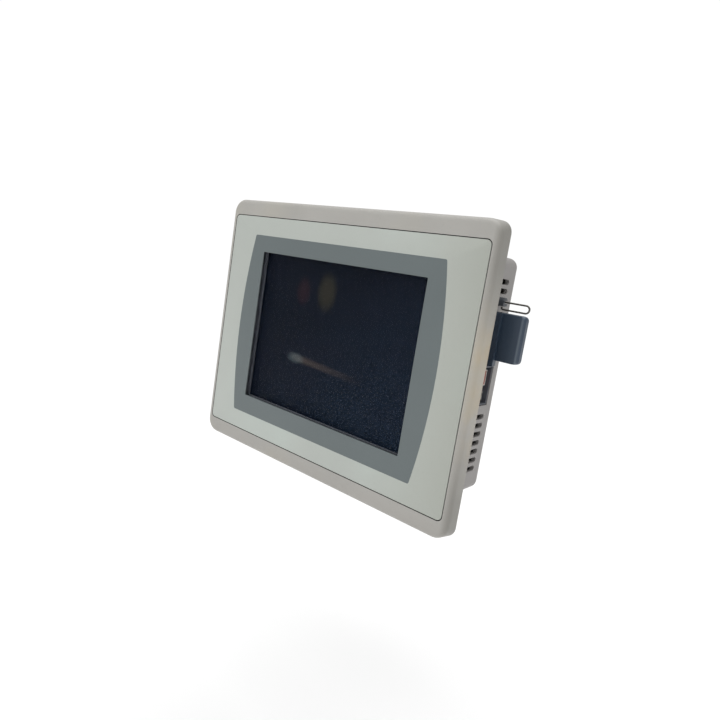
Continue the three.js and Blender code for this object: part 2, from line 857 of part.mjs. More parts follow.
function powerHeader() {
  const y = headerDepth / 2;
  const half = bladeSize / 2;
  const roof = headerHeight - headerFloor;
  const body = box(0, headerWidth, 0, headerDepth, 0, headerHeight);
  const mouth = box(headerWall, headerWidth - headerWall, headerWall, headerDepth - headerWall, -past, roof);
  const blades = terminalPlaces().map((x) => (
    box(x - half, x + half, y - half, y + half, bladeStart, roof + bury)
  ));
  return join(cut(body, mouth), ...blades);
}

function terminalPlug() {
  const side = headerWall + gap;
  const back = headerDepth - side;
  const outer = back + plugOverhang;
  const y = headerDepth / 2;
  const body = join(
    box(side, headerWidth - side, side, back, -plugBodyDrop, plugBodyHeight),
    box(side, headerWidth - side, side, outer, -plugOuterHeight, -gap),
  );
  const socket = plugSocket / 2;
  const tools = [];
  for (const x of terminalPlaces()) {
    tools.push(box(x - socket, x + socket, y - socket, y + socket, plugSocketStart, plugBodyHeight + past));
    tools.push(rodY(terminalScrewRadius, outer - terminalScrewDepth, outer + past, x, -terminalScrewDrop,
      holeSteps));
    tools.push(box(x - wireHoleWidth / 2, x + wireHoleWidth / 2, y - wireHoleDepth / 2, y + wireHoleDepth / 2,
      -plugOuterHeight - past, -plugOuterHeight + wireHoleHeight));
  }
  return cut(body, ...tools);
}

// ---------- rear housing ----------
function vent(side, z) {
  const slot = new THREE.ExtrudeGeometry(roundedRectangle(ventLength, ventHeight, ventHeight / 2),
    { depth: 2 * (housingWall + past), bevelEnabled: false, curveSegments: 3 });
  slot.rotateX(Math.PI / 2).rotateZ(Math.PI / 2);
  return slot.translate(side * sideX - housingWall - past, ventEnd - ventLength / 2, z);
}

// An opening in the bottom for a connector whose outer end has this width and depth.
function connectorOpening(x, width, depth) {
  return box(x - openingMargin, x + width + openingMargin, boardTop - gap, boardTop + depth + openingMargin,
    bottomZ - past, innerBottomZ + past);
}

function rearHousing() {
  const shell = roundedPlate(housingWidth, housingHeight, housingCorner, gap, housingDepth, rearRound,
    housingZ);
  const tools = [plate(innerWidth, innerHeight, housingCorner - housingWall, -past, rearInside, 0, housingZ)];
  for (const side of [-1, 1]) {
    for (let i = 0; i < upperVentCount; i += 1) {
      tools.push(vent(side, upperVentTop - i * ventPitch));
    }
    for (let i = 0; i < lowerVentCount; i += 1) {
      tools.push(vent(side, lowerVentTop - i * ventPitch));
    }
  }
  const wall = 2 * (housingWall + past);
  for (let i = 0; i < topVentCount; i += 1) {
    const x = (i - (topVentCount - 1) / 2) * topVentPitch;
    tools.push(slab(ventHeight, wall, ventStart, ventEnd, x, innerTopZ + housingWall));
  }
  const rear = rearInside - past;
  for (const [i, k] of corners) {
    const z = housingZ + k * housingHeight / 2;
    tools.push(screwHole(rear, rearFace + past, i * coverX, housingZ + k * coverZ));
    tools.push(slab(leverSlotWidth, wall, leverSlotStart, leverSlotStart + leverSlotLength,
      i * leverSlotX, z));
  }
  const inside = wallX - past;
  const outside = sideX + past;
  const slotDepth = cardThickness / 2 + cardSlotMargin;
  const slotHeight = cardWidth + 2 * cardSlotMargin;
  tools.push(cardBox(inside, outside, cardY - slotDepth, cardY + slotDepth, slotHeight));
  tools.push(box(inside, outside, bayFront - gap, bayBack + gap, bayBottom - gap, bayTop + gap));
  tools.push(connectorOpening(ethernetX, jackWidth, jackDepth));
  const shellX = serialX + (serialWidth - shellWidth) / 2;
  tools.push(connectorOpening(shellX, shellWidth, (serialDepth + shellDepth) / 2));
  tools.push(connectorOpening(powerX, headerWidth, headerDepth - headerWall - gap + plugOverhang));
  tools.push(screwHole(rear, rearFace + past, earthX, earthZ));
  return cut(shell, ...tools);
}

// ---------- assembly ----------
const group = new THREE.Group();

function add(name, geometry, [color, roughness, metalness], position = [0, 0, 0]) {
  const mesh = new THREE.Mesh(geometry, new THREE.MeshStandardMaterial({ color, roughness, metalness }));
  mesh.name = name;
  mesh.position.set(...position);
  group.add(mesh);
}

const panel = (width, height, y0, y1) => slab(width, height, y0, y1, 0, windowRise);
const pinLow = earBottom + doorPinSetback;
const pinHigh = doorTop - doorPinSetback;
const cell = rodY(cellRadius, 0, cellThickness, 0, 0, hingeSteps);
const cellY = boardTop + holderFloor + gap;
const label = plate(labelWidth, labelHeight, labelCorner, rearFace, rearFace + labelThickness,
  labelX, labelZ);

add('front_bezel', frontBezel(), paint.bezel);
add('front_overlay', frontOverlay(), paint.overlay);
add('touch_sensor', panel(touchWidth, touchHeight, touchFront, touchBack), paint.touchGlass);
add('touch_tail', touchTail(), paint.amber);
add('display_panel', panel(displayWidth, displayHeight, displayFront, displayBack), paint.display);
add('display_frame', displayFrame(), paint.steel);
add('display_backlight', displayBacklight(), paint.light);
add('display_bracket', displayBracket(), paint.steel);
add('inverter_board', inverterBoard(), paint.board);
add('main_board', mainBoard(), paint.board);
add('heat_sink', heatSink(), paint.aluminium, [sinkX, boardBack + processorThickness + gap, sinkZ]);
add('battery_holder', batteryHolder(), paint.darkPlastic, [batteryX, boardTop, batteryZ]);
add('coin_cell', cell, paint.steel, [batteryX, cellY, batteryZ]);
add('card_socket', cardSocket(), paint.darkPlastic);
add('memory_card', memoryCard(), paint.card);
add('card_door', cardDoor(), paint.door, doorPivot);
add('door_hinge_bracket', doorHingeBracket(), paint.door, doorPivot);
add('door_pin', rodZ(doorPinRadius, pinLow, pinHigh, 0, 0, holeSteps), paint.steel, doorPivot);
add('bail_bracket', bailBracket(), paint.door, bailPivot);
add('wire_bail', wireBail(), paint.wire, bailPivot);
add('port_insert', portInsert(), paint.insert);
add('port_board', portBoard(), paint.board, [bayFloor + gap, 0, 0]);
add('usb_socket', usbSocket(), paint.steel, [portX, portY, usbBottom]);
add('mode_switch_body', modeSwitchBody(), paint.switchRed, [portX, portY, switchBottom]);
add('mode_switch_slider', modeSwitchSlider(), paint.slider, [portX, portY, switchBottom]);
add('ethernet_jack', ethernetJack(), paint.steel, [ethernetX, boardTop, connectorZ]);
add('serial_port', serialPort(), paint.steel, [serialX, boardTop, connectorZ]);
add('power_header', powerHeader(), paint.header, [powerX, boardTop, connectorZ]);
add('terminal_plug', terminalPlug(), paint.plug, [powerX, boardTop, connectorZ]);
add('rear_housing', rearHousing(), paint.housing);
add('panel_gasket', gasketRing(0, 0), paint.rubber);
add('rating_plate', label, paint.label);
add('earth_screw', screw(earthScrewLength), paint.brass, [earthX, rearFace, earthZ]);

corners.forEach(([i, k], index) => {
  const bracketPlace = [i * postX, bracketBack + gap, k * postZ];
  const boardPlace = [i * boardPostX, boardTop, housingZ + k * boardPostZ];
  const coverPlace = [i * coverX, rearFace, housingZ + k * coverZ];
  add(`bracket_screw_${index + 1}`, screw(bracketScrewLength), paint.steel, bracketPlace);
  add(`board_screw_${index + 1}`, screw(boardScrewLength), paint.steel, boardPlace);
  add(`cover_screw_${index + 1}`, screw(coverScrewLength), paint.coverScrew, coverPlace);
});

export default group;
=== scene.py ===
"""A panel-mounted touch-screen operator terminal: its looks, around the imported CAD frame."""
import json
import math
import random

import bmesh
import bpy
from mathutils import Matrix, Vector


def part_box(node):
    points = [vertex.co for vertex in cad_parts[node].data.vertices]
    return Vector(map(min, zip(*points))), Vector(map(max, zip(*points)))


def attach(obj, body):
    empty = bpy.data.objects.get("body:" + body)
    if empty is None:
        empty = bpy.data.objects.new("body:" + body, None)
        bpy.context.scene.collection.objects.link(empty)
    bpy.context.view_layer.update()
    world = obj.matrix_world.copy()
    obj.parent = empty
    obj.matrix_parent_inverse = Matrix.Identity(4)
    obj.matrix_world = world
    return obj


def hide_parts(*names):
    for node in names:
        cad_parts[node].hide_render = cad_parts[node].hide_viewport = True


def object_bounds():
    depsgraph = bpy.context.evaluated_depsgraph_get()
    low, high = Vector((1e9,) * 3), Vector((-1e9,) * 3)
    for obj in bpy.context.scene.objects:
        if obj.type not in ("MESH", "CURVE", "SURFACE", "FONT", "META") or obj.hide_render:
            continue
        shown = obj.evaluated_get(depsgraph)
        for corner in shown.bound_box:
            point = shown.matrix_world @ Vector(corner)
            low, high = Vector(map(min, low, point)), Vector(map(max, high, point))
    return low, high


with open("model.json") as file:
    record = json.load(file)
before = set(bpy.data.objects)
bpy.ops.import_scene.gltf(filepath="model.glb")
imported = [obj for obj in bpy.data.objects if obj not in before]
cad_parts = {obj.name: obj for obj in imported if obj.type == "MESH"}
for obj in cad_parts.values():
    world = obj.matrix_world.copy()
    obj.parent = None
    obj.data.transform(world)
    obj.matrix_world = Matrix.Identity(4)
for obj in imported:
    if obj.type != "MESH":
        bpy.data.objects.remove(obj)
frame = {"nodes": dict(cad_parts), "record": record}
cad_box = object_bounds()
random.seed(7)
MM = 0.001


def box_mm(node):
    low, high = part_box(node)
    return low / MM, high / MM


def middle(low, high):
    return (low + high) / 2


def half(low, high):
    return (high - low) / 2


# ---------- sizes in millimetres, most of them read from the frame ----------
bezel_low, bezel_high = box_mm("front_bezel")
overlay_low, overlay_high = box_mm("front_overlay")
touch_low, touch_high = box_mm("touch_sensor")
panel_low = box_mm("display_panel")[0]
rim_low, rim_high = box_mm("display_frame")
house_low, house_high = box_mm("rear_housing")
gasket_low, gasket_high = box_mm("panel_gasket")
door_low, door_high = box_mm("card_door")

# The play round what sits in the bezel, the housing's wall, how far the door's bevel reaches in from its
# free edge, and how far the bezel's window stays inside the touch sensor.
GAP = 0.3
WALL = 2.2
DOOR_BEVEL_RUN = 1.4
WINDOW_MARGIN = 5

FRONT = bezel_low.y
HOUSE_Z = middle(house_low.z, house_high.z)
HOUSE_W = house_high.x
HOUSE_H = half(house_low.z, house_high.z)
WINDOW_Z = middle(touch_low.z, touch_high.z)
WINDOW_W = touch_high.x - WINDOW_MARGIN
WINDOW_H = half(touch_low.z, touch_high.z) - WINDOW_MARGIN

# The right-hand ends of the bezel and of the open door, in metres, for the materials.
BEZEL_EDGE = bezel_high.x * MM
DOOR_EDGE = door_high.x * MM


# ---------- camera, light and floor ----------
def make_camera():
    """The photograph's viewpoint: in front, to the right and a little above the middle."""
    data = bpy.data.cameras.new("camera")
    cam = bpy.data.objects.new("camera", data)
    bpy.context.scene.collection.objects.link(cam)
    forward = Vector((-0.6400, 0.7571, -0.1315)).normalized()
    up = Vector((-0.1996, 0.0014, 0.9799))
    right = forward.cross(up).normalized()
    up = right.cross(forward)
    turn = Matrix((right, up, -forward)).transposed()
    place = Vector((0.2100, overlay_low.y * MM - 0.2389, 0.0471))
    cam.matrix_world = Matrix.Translation(place) @ turn.to_4x4()
    data.sensor_width = 36
    data.lens = 29.09
    data.shift_x = 0.0331
    data.shift_y = -0.0303
    data.clip_start = 0.01
    data.clip_end = 50
    bpy.context.scene.camera = cam


def make_lights():
    """A wide soft light from above, and a disk in front and to the left, turned to the bezel's middle."""
    collection = bpy.context.scene.collection
    sun = bpy.data.lights.new("overhead", "SUN")
    sun.energy = 2.3
    sun.angle = math.radians(70)
    collection.objects.link(bpy.data.objects.new("overhead", sun))
    disk = bpy.data.lights.new("key", "AREA")
    disk.shape = "DISK"
    disk.size = 0.9
    disk.energy = 1.8
    key = bpy.data.objects.new("key", disk)
    collection.objects.link(key)
    key.location = (-0.35, -0.75, 0.55)
    key.rotation_euler = (-key.location).to_track_quat("-Z", "Y").to_euler()


def make_stage():
    """A white room, bright where the camera sees it and dimmer as a light, and a pale floor well below."""
    room_seen = 1.02
    room_light = 0.42
    floor_below = 0.16
    reach = 12
    scene = bpy.context.scene
    scene.view_settings.view_transform = "Standard"
    world = bpy.data.worlds.new("studio")
    scene.world = world
    world.use_nodes = True
    tree = world.node_tree
    background = tree.nodes["Background"]
    background.inputs["Color"].default_value = (1, 1, 1, 1)
    path = tree.nodes.new("ShaderNodeLightPath")
    strength = tree.nodes.new("ShaderNodeMapRange")
    strength.inputs["To Min"].default_value = room_light
    strength.inputs["To Max"].default_value = room_seen
    tree.links.new(path.outputs["Is Camera Ray"], strength.inputs["Value"])
    tree.links.new(strength.outputs["Result"], background.inputs["Strength"])
    mesh = bpy.data.meshes.new("floor")
    drop = cad_box[0].z - floor_below
    corners = [(-reach, -reach, drop), (reach, -reach, drop), (reach, reach, drop), (-reach, reach, drop)]
    mesh.from_pydata(corners, [], [(0, 1, 2, 3)])
    floor = bpy.data.objects.new("floor", mesh)
    scene.collection.objects.link(floor)
    paint = bpy.data.materials.new("floor_paint")
    paint.use_nodes = True
    shader = paint.node_tree.nodes["Principled BSDF"]
    shader.inputs["Base Color"].default_value = (0.93, 0.93, 0.93, 1)
    shader.inputs["Roughness"].default_value = 0.9
    mesh.materials.append(paint)


# ---------- materials ----------
def srgb(red, green, blue):
    """A colour given as a screen shows it, as the light it stands for."""
    def linear(value):
        v = value / 255
        return v / 12.92 if v <= 0.04045 else ((v + 0.055) / 1.055) ** 2.4

    return (linear(red), linear(green), linear(blue), 1)


def shade(colour, factor):
    return tuple(min(1, c * factor) for c in colour[:3]) + (1,)


class Nodes:
    """A short way to write a node tree."""

    def __init__(self, name):
        self.material = bpy.data.materials.new(name)
        self.material.use_nodes = True
        self.tree = self.material.node_tree
        self.shader = self.tree.nodes["Principled BSDF"]
        self.place = self.add("ShaderNodeTexCoord").outputs["Object"]

    def add(self, kind, **values):
        node = self.tree.nodes.new(kind)
        for key, value in values.items():
            setattr(node, key, value)
        return node

    def link(self, source, target):
        self.tree.links.new(source, target)

    def noise(self, scale, detail=4, rough=0.55, stretch=(1, 1, 1)):
        mapping = self.add("ShaderNodeMapping")
        mapping.inputs["Scale"].default_value = stretch
        self.link(self.place, mapping.inputs["Vector"])
        node = self.add("ShaderNodeTexNoise")
        node.inputs["Scale"].default_value = scale
        node.inputs["Detail"].default_value = detail
        node.inputs["Roughness"].default_value = rough
        self.link(mapping.outputs["Vector"], node.inputs["Vector"])
        return node.outputs["Fac"]

    def spread(self, value, low, high, to_low, to_high):
        node = self.add("ShaderNodeMapRange")
        node.inputs["From Min"].default_value = low
        node.inputs["From Max"].default_value = high
        node.inputs["To Min"].default_value = to_low
        node.inputs["To Max"].default_value = to_high
        self.link(value, node.inputs["Value"])
        return node.outputs["Result"]

    def math(self, operation, first, second=0):
        node = self.add("ShaderNodeMath", operation=operation)
        for socket, value in zip(node.inputs, (first, second)):
            if isinstance(value, (int, float)):
                socket.default_value = value
            else:
                self.link(value, socket)
        return node.outputs["Value"]

    def mix(self, factor, first, second):
        node = self.add("ShaderNodeMix", data_type="RGBA")
        sockets = (node.inputs[0], node.inputs[6], node.inputs[7])
        for socket, value in zip(sockets, (factor, first, second)):
            if isinstance(value, (int, float, tuple)):
                socket.default_value = value
            else:
                self.link(value, socket)
        return node.outputs[2]

    def axis(self, name):
        split = self.add("ShaderNodeSeparateXYZ")
        self.link(self.place, split.inputs[0])
        return split.outputs[name]

    def times(self, *values):
        product = values[0]
        for value in values[1:]:
            product = self.math("MULTIPLY", product, value)
        return product

    def bump(self, height, strength, distance):
        node = self.add("ShaderNodeBump")
        node.inputs["Strength"].default_value = strength
        node.inputs["Distance"].default_value = distance
        self.link(height, node.inputs["Height"])
        self.link(node.outputs["Normal"], self.shader.inputs["Normal"])


def finish(name, colour, rough, metal=0.0, mottle=0.05, mottle_scale=30, grain=0.12, grain_scale=1400,
           tint=None, stretch=(1, 1, 1), extra=None):
    """A surface with soft colour variation, uneven gloss, dark specks and a fine grain.

    tint is a second, stained colour; stretch draws the grain out; extra adds what one piece alone has.
    """
    gloss_change = 0.06
    n = Nodes(name)
    base = srgb(*colour)
    large = n.spread(n.noise(mottle_scale, 5), 0.3, 0.7, 0, 1)
    surface = n.mix(large, shade(base, 1 - mottle), shade(base, 1 + mottle))
    if tint:
        patches = n.spread(n.noise(mottle_scale * 0.6, 3), 0.52, 0.7, 0, 0.55)
        surface = n.mix(patches, surface, srgb(*tint))
    specks = n.spread(n.noise(grain_scale * 0.35, 2), 0.62, 0.75, 0, 0.12)
    surface = n.mix(specks, surface, shade(base, 0.62))
    if extra:
        surface = extra(n, surface)
    n.link(surface, n.shader.inputs["Base Color"])
    cloud = n.noise(mottle_scale * 2.3, 4)
    gloss = n.spread(cloud, 0.3, 0.7, rough - gloss_change, rough + gloss_change)
    n.link(gloss, n.shader.inputs["Roughness"])
    n.shader.inputs["Metallic"].default_value = metal
    n.bump(n.noise(grain_scale, 3, 0.6, stretch), grain, 0.0002)
    return n.material


def bezel_stain_and_shade(n, colour):
    """A warm stain in the middle of the right-hand wall, painted shade on that wall and its front shoulder
    towards their top and bottom ends, and darker patches towards the foot.
    """
    right = n.spread(n.axis("X"), BEZEL_EDGE - 0.0040, BEZEL_EDGE - 0.0007, 0, 1)
    height = n.math("ABSOLUTE", n.axis("Z"))
    patches = n.spread(n.noise(28, 4), 0.38, 0.6, 0.1, 0.9)
    near_middle = n.spread(height, 0.015, 0.06, 0.85, 0.1)
    colour = n.mix(n.times(right, near_middle, patches), colour, srgb(186, 170, 140))
    # Painted shade: the right-hand wall and shoulder darken towards their top and bottom ends.
    shaded_ends = n.spread(height, 0.02, 0.055, 0, 0.7)
    colour = n.mix(n.times(right, shaded_ends), colour, srgb(128, 126, 120))
    # Darker, in patches, towards the foot.
    foot = n.spread(n.axis("Z"), -0.064, -0.076, 0, 0.25)
    blotches = n.spread(n.noise(60, 4), 0.4, 0.65, 0.2, 1)
    return n.mix(n.times(foot, blotches), colour, srgb(140, 132, 124))


def overlay_shaded_right(n, colour):
    """Painted shade: the sheet turns darker and a little yellower towards its right-hand edge, where less
    light falls.
    """
    return n.mix(n.spread(n.axis("X"), 0.04, 0.088, 0, 0.3), colour, srgb(150, 149, 134))


def door_painted_light(n, colour):
    """Painted light: the open door is paler towards its free edge, as the light falls on it, and has a
    painted highlight along the ridge of its bevel.
    """
    # Painted light: paler towards the free edge, darker towards the hinge.
    lit_towards_edge = n.spread(n.axis("X"), DOOR_EDGE - 0.014, DOOR_EDGE - 0.002, 0, 0.5)
    colour = n.mix(lit_towards_edge, colour, srgb(56, 72, 90))
    from_highlight_ridge = n.math("ABSOLUTE", n.math("ADD", n.axis("X"), DOOR_BEVEL_RUN * MM - DOOR_EDGE))
    # Painted highlight along the ridge of the bevel.
    return n.mix(n.spread(from_highlight_ridge, 0.0002, 0.0008, 0.55, 0), colour, srgb(112, 124, 136))


def glass():
    """The clear touch sensor: almost nothing but a soft sheen."""
    n = Nodes("touch_glass")
    n.shader.inputs["Base Color"].default_value = srgb(16, 20, 28)
    n.shader.inputs["Alpha"].default_value = 0.02
    n.link(n.spread(n.noise(30, 3), 0.35, 0.65, 0.16, 0.22), n.shader.inputs["Roughness"])
    return n.material


def display_black():
    """The unlit display: blue-black, paler towards its lower right, with faint smears and one streak."""
    n = Nodes("display_black")

    def smear(under, x, z, wide, tall, strength, tone):
        """A soft-edged oval on the display, its place and half sizes in metres."""
        across = n.times(n.math("ADD", n.axis("X"), -x), 1 / wide)
        up = n.times(n.math("ADD", n.axis("Z"), -z), 1 / tall)
        distance = n.math("ADD", n.times(across, across), n.times(up, up))
        oval = n.spread(distance, 0.2, 1, 1, 0)
        return n.mix(n.times(oval, strength), under, srgb(*tone))

    rise = n.math("ADD", n.axis("X"), n.times(n.axis("Z"), -1.2))
    colour = n.mix(n.spread(rise, -0.03, 0.11, 0, 1), srgb(11, 18, 30), srgb(25, 37, 52))
    cloud = n.spread(n.noise(18, 3, 0.5, (1, 1, 1.6)), 0.45, 0.7, 0, 0.4)
    colour = n.mix(cloud, colour, srgb(22, 24, 37))
    colour = smear(colour, -0.0255, 0.0265, 0.006, 0.009, 0.35, (58, 36, 40))
    colour = smear(colour, -0.0075, 0.0285, 0.008, 0.012, 0.35, (72, 68, 50))
    tilt = n.math("ADD", n.axis("Z"), n.times(n.axis("X"), 0.06))
    away = n.math("ABSOLUTE", n.math("ADD", tilt, 0.0140))
    core = n.spread(away, 0.0006, 0.0026, 1, 0)
    begins = n.spread(n.axis("X"), -0.030, -0.024, 0, 1)
    fades = n.spread(n.axis("X"), -0.018, 0.026, 0.5, 0)
    colour = n.mix(n.times(core, begins, fades), colour, srgb(92, 82, 76))
    colour = smear(colour, -0.0245, -0.0128, 0.0075, 0.0036, 0.4, (92, 104, 108))
    n.link(colour, n.shader.inputs["Base Color"])
    n.link(n.spread(n.noise(300, 2), 0.3, 0.7, 0.42, 0.52), n.shader.inputs["Roughness"])
    n.shader.inputs["Specular IOR Level"].default_value = 0.05
    return n.material


def circuit_board():
    """Green board with paler traces that meet at right angles, and tinned dots."""
    n = Nodes("circuit_board")
    trace = n.add("ShaderNodeTexVoronoi", feature="DISTANCE_TO_EDGE", distance="MANHATTAN")
    trace.inputs["Scale"].default_value = 260
    n.link(n.place, trace.inputs["Vector"])
    lines = n.spread(trace.outputs["Distance"], 0.02, 0.06, 1, 0)
    colour = n.mix(lines, srgb(28, 84, 50), srgb(60, 128, 80))
    dots = n.spread(n.noise(420, 1), 0.66, 0.7, 0, 1)
    n.link(n.mix(dots, colour, srgb(196, 186, 150)), n.shader.inputs["Base Color"])
    n.shader.inputs["Roughness"].default_value = 0.42
    n.bump(lines, 0.2, 0.0001)
    return n.material


# Each surface: its colour, its roughness, how metallic it is, and what differs from an even moulded plastic.
LOOKS = {
    "bezel": dict(colour=(168, 166, 161), rough=0.52, tint=(176, 172, 160), extra=bezel_stain_and_shade),
    "overlay": dict(colour=(178, 183, 177), rough=0.42, mottle=0.03, mottle_scale=14, grain=0.08,
                    grain_scale=2600, tint=(186, 198, 191), extra=overlay_shaded_right),
    "band": dict(colour=(98, 107, 108), rough=0.42, mottle=0.04, mottle_scale=18, grain=0.08,
                 grain_scale=2600),
    "flex": dict(colour=(170, 110, 44), rough=0.35, grain_scale=700),
    "sheet_steel": dict(colour=(186, 188, 190), rough=0.34, metal=0.9, mottle=0.08, grain=0.2,
                        stretch=(1, 1, 12)),
    "white_plastic": dict(colour=(226, 226, 222), rough=0.5),
    "heat_sink": dict(colour=(160, 163, 166), rough=0.38, metal=0.9, grain=0.25, stretch=(1, 1, 14)),
    "dark_plastic": dict(colour=(42, 43, 44), rough=0.5),
    "boss_plastic": dict(colour=(68, 72, 78), rough=0.42),
    "cell": dict(colour=(200, 200, 202), rough=0.26, metal=1, mottle=0.04, grain=0.06),
    "door_black": dict(colour=(44, 58, 74), rough=0.40, mottle=0.10, mottle_scale=60, grain=0.3,
                       grain_scale=1700, tint=(48, 58, 72), extra=door_painted_light),
    "fastener": dict(colour=(184, 184, 186), rough=0.3, metal=1, mottle=0.08, mottle_scale=300),
    "cover_fastener": dict(colour=(96, 96, 98), rough=0.34, metal=0.95, mottle=0.1, mottle_scale=300),
    # Also put on the bezel's window wall as painted shade.
    "bay_plastic": dict(colour=(82, 86, 94), rough=0.5, mottle=0.08),
    "connector_metal": dict(colour=(196, 196, 194), rough=0.26, metal=0.95, mottle=0.08, mottle_scale=200),
    "switch_red": dict(colour=(158, 58, 52), rough=0.45, mottle=0.1, mottle_scale=200),
    "switch_white": dict(colour=(230, 228, 220), rough=0.45),
    "terminal_green": dict(colour=(52, 84, 64), rough=0.45),
    "terminal_plug_green": dict(colour=(70, 124, 88), rough=0.45),
    # Painted shade: the housing is the same light-grey plastic as the bezel, given a darker colour because
    # its sides get less light.
    "housing": dict(colour=(150, 147, 145), rough=0.55, tint=(156, 152, 148)),
    "gasket": dict(colour=(44, 44, 45), rough=0.9, mottle=0.15, mottle_scale=260, grain=0.8, grain_scale=900),
    "label_blank": dict(colour=(206, 206, 202), rough=0.34, metal=0.15, grain=0.05),
    "brass": dict(colour=(192, 170, 98), rough=0.32, metal=1, mottle=0.1, mottle_scale=300),
    "bail_wire": dict(colour=(104, 102, 97), rough=0.34, metal=0.75, mottle=0.12, mottle_scale=300,
                      grain=0.1),
    "card_plastic": dict(colour=(30, 42, 66), rough=0.45),
    "gold": dict(colour=(206, 176, 96), rough=0.25, metal=1),
    # Near-black; the bezel uses it as painted shade on the walls of the gap round the overlay.
    "hollow": dict(colour=(22, 22, 23), rough=0.7),
}


def make_materials():
    paints = {name: finish(name, **look) for name, look in LOOKS.items()}
    paints["touch_glass"] = glass()
    paints["display"] = display_black()
    paints["circuit_board"] = circuit_board()
    return paints


make_camera()
make_stage()
make_lights()
PAINT = make_materials()


# ---------- mesh tools; all sizes in millimetres ----------
CORNER_STEPS = 10
SIDE_STEPS = 20
QUARTER = math.pi / 2


def ring(half_w, half_h, radius, y, zc=0.0, bulge=0.0):
    """A rounded rectangle in X and Z at depth y; bulge bows its left and right sides out."""
    points = []
    sides = [(-half_w + radius, -half_h, 1, 0), (half_w, -half_h + radius, 0, 1),
             (half_w - radius, half_h, -1, 0), (-half_w, half_h - radius, 0, -1)]
    lengths = [2 * (half_w - radius), 2 * (half_h - radius)] * 2
    for k, (x0, z0, dx, dz) in enumerate(sides):
        for i in range(SIDE_STEPS):
            t = i / SIDE_STEPS * lengths[k]
            points.append((x0 + dx * t, z0 + dz * t))
        end_x = x0 + dx * lengths[k]
        end_z = z0 + dz * lengths[k]
        centre = (end_x - dz * radius, end_z + dx * radius)
        for i in range(CORNER_STEPS):
            a = (k - 1 + i / CORNER_STEPS) * QUARTER
            points.append((centre[0] + radius * math.cos(a), centre[1] + radius * math.sin(a)))
    bowed = []
    for x, z in points:
        out = bulge * max(0, 1 - (z / half_h) ** 2)
        bowed.append(((x + math.copysign(out, x)) * MM, y * MM, (z + zc) * MM))
    return bowed


def circle(radius, y, x, z, steps=28):
    return [((x + radius * math.cos(a)) * MM, y * MM, (z + radius * math.sin(a)) * MM)
            for a in (i / steps * 2 * math.pi for i in range(steps))]


def loft(bm, rings, closed=False, paints=None):
    """Skins a row of rings; an open row is capped at both ends. paints has one entry for each strip."""
    loops = [[bm.verts.new(p) for p in points] for points in rings]
    pairs = list(zip(loops, loops[1:]))
    if closed:
        pairs.append((loops[-1], loops[0]))
    for index, (one, two) in enumerate(pairs):
        for i in range(len(one)):
            j = (i + 1) % len(one)
            face = bm.faces.new((one[i], one[j], two[j], two[i]))
            face.material_index = paints[index] if paints else 0
    if not closed:
        bm.faces.new(loops[0])
        bm.faces.new(loops[-1])


def block(bm, low, high):
    for v in bmesh.ops.create_cube(bm, size=1)["verts"]:
        v.co = [(low[i] + high[i]) / 2 * MM + v.co[i] * (high[i] - low[i]) * MM for i in range(3)]


def prism(bm, outline, axis, start, stop):
    """An outline swept along an axis: X sweeps (y, z) points, Y sweeps (x, z) and Z sweeps (x, y)."""
    rings = []
    for along in (start, stop):
        points = []
        for u, v in outline:
            point = [u, v]
            point.insert("XYZ".index(axis), along)
            points.append(tuple(c * MM for c in point))
        rings.append(points)
    loft(bm, rings)


def obround(centre_u, centre_v, length, height, steps=8):
    """A slot with round ends, long in u."""
    r = height / 2
    points = []
    for side, start in ((1, -QUARTER), (-1, QUARTER)):
        for i in range(steps + 1):
            a = start + i / steps * math.pi
            end = centre_u + side * (length / 2 - r)
            points.append((end + r * math.cos(a), centre_v + r * math.sin(a)))
    return points


def round_outline(radius, u, v, steps=24):
    return [(u + radius * math.cos(a), v + radius * math.sin(a))
            for a in (i / steps * 2 * math.pi for i in range(steps))]


def tube(bm, points, radius, sides=14):
    """A round bar along points that don't run along Y, with closed ends."""
    path = [Vector(p) for p in points]
    side = Vector((0, 1, 0))
    rings = []
    for i, p in enumerate(path):
        along = (path[min(i + 1, len(path) - 1)] - path[max(i - 1, 0)]).normalized()
        across = side.cross(along).normalized()
        lift = along.cross(across).normalized()
        rings.append([tuple((p + across * radius * math.cos(a) + lift * radius * math.sin(a)) * MM)
                      for a in (k / sides * 2 * math.pi for k in range(sides))])
    loft(bm, rings)


def object_from(bm, name):
    bmesh.ops.recalc_face_normals(bm, faces=bm.faces)
    mesh = bpy.data.meshes.new(name)
    bm.to_mesh(mesh)
    bm.free()
    made = bpy.data.objects.new(name, mesh)
    bpy.context.scene.collection.objects.link(made)
    return made


def carve(target, cutter_bm):
    """Cuts the closed shapes in cutter_bm out of target."""
    cutter = object_from(cutter_bm, target.name + "_cutter")
    modifier = target.modifiers.new("cut", "BOOLEAN")
    modifier.operation = "DIFFERENCE"
    modifier.solver = "EXACT"
    modifier.object = cutter
    bpy.context.view_layer.update()
    graph = bpy.context.evaluated_depsgraph_get()
    mesh = bpy.data.meshes.new_from_object(target.evaluated_get(graph))
    target.modifiers.clear()
    target.data = mesh
    bpy.data.objects.remove(cutter)


def soften(obj, width=0.2, segments=2, angle=40):
    bevel = obj.modifiers.new("edges", "BEVEL")
    bevel.width = width * MM
    bevel.segments = segments
    bevel.limit_method = "ANGLE"
    bevel.angle_limit = math.radians(angle)
    bevel.use_clamp_overlap = True
    bevel.miter_outer = "MITER_ARC"
    normals = obj.modifiers.new("normals", "WEIGHTED_NORMAL")
    normals.keep_sharp = True


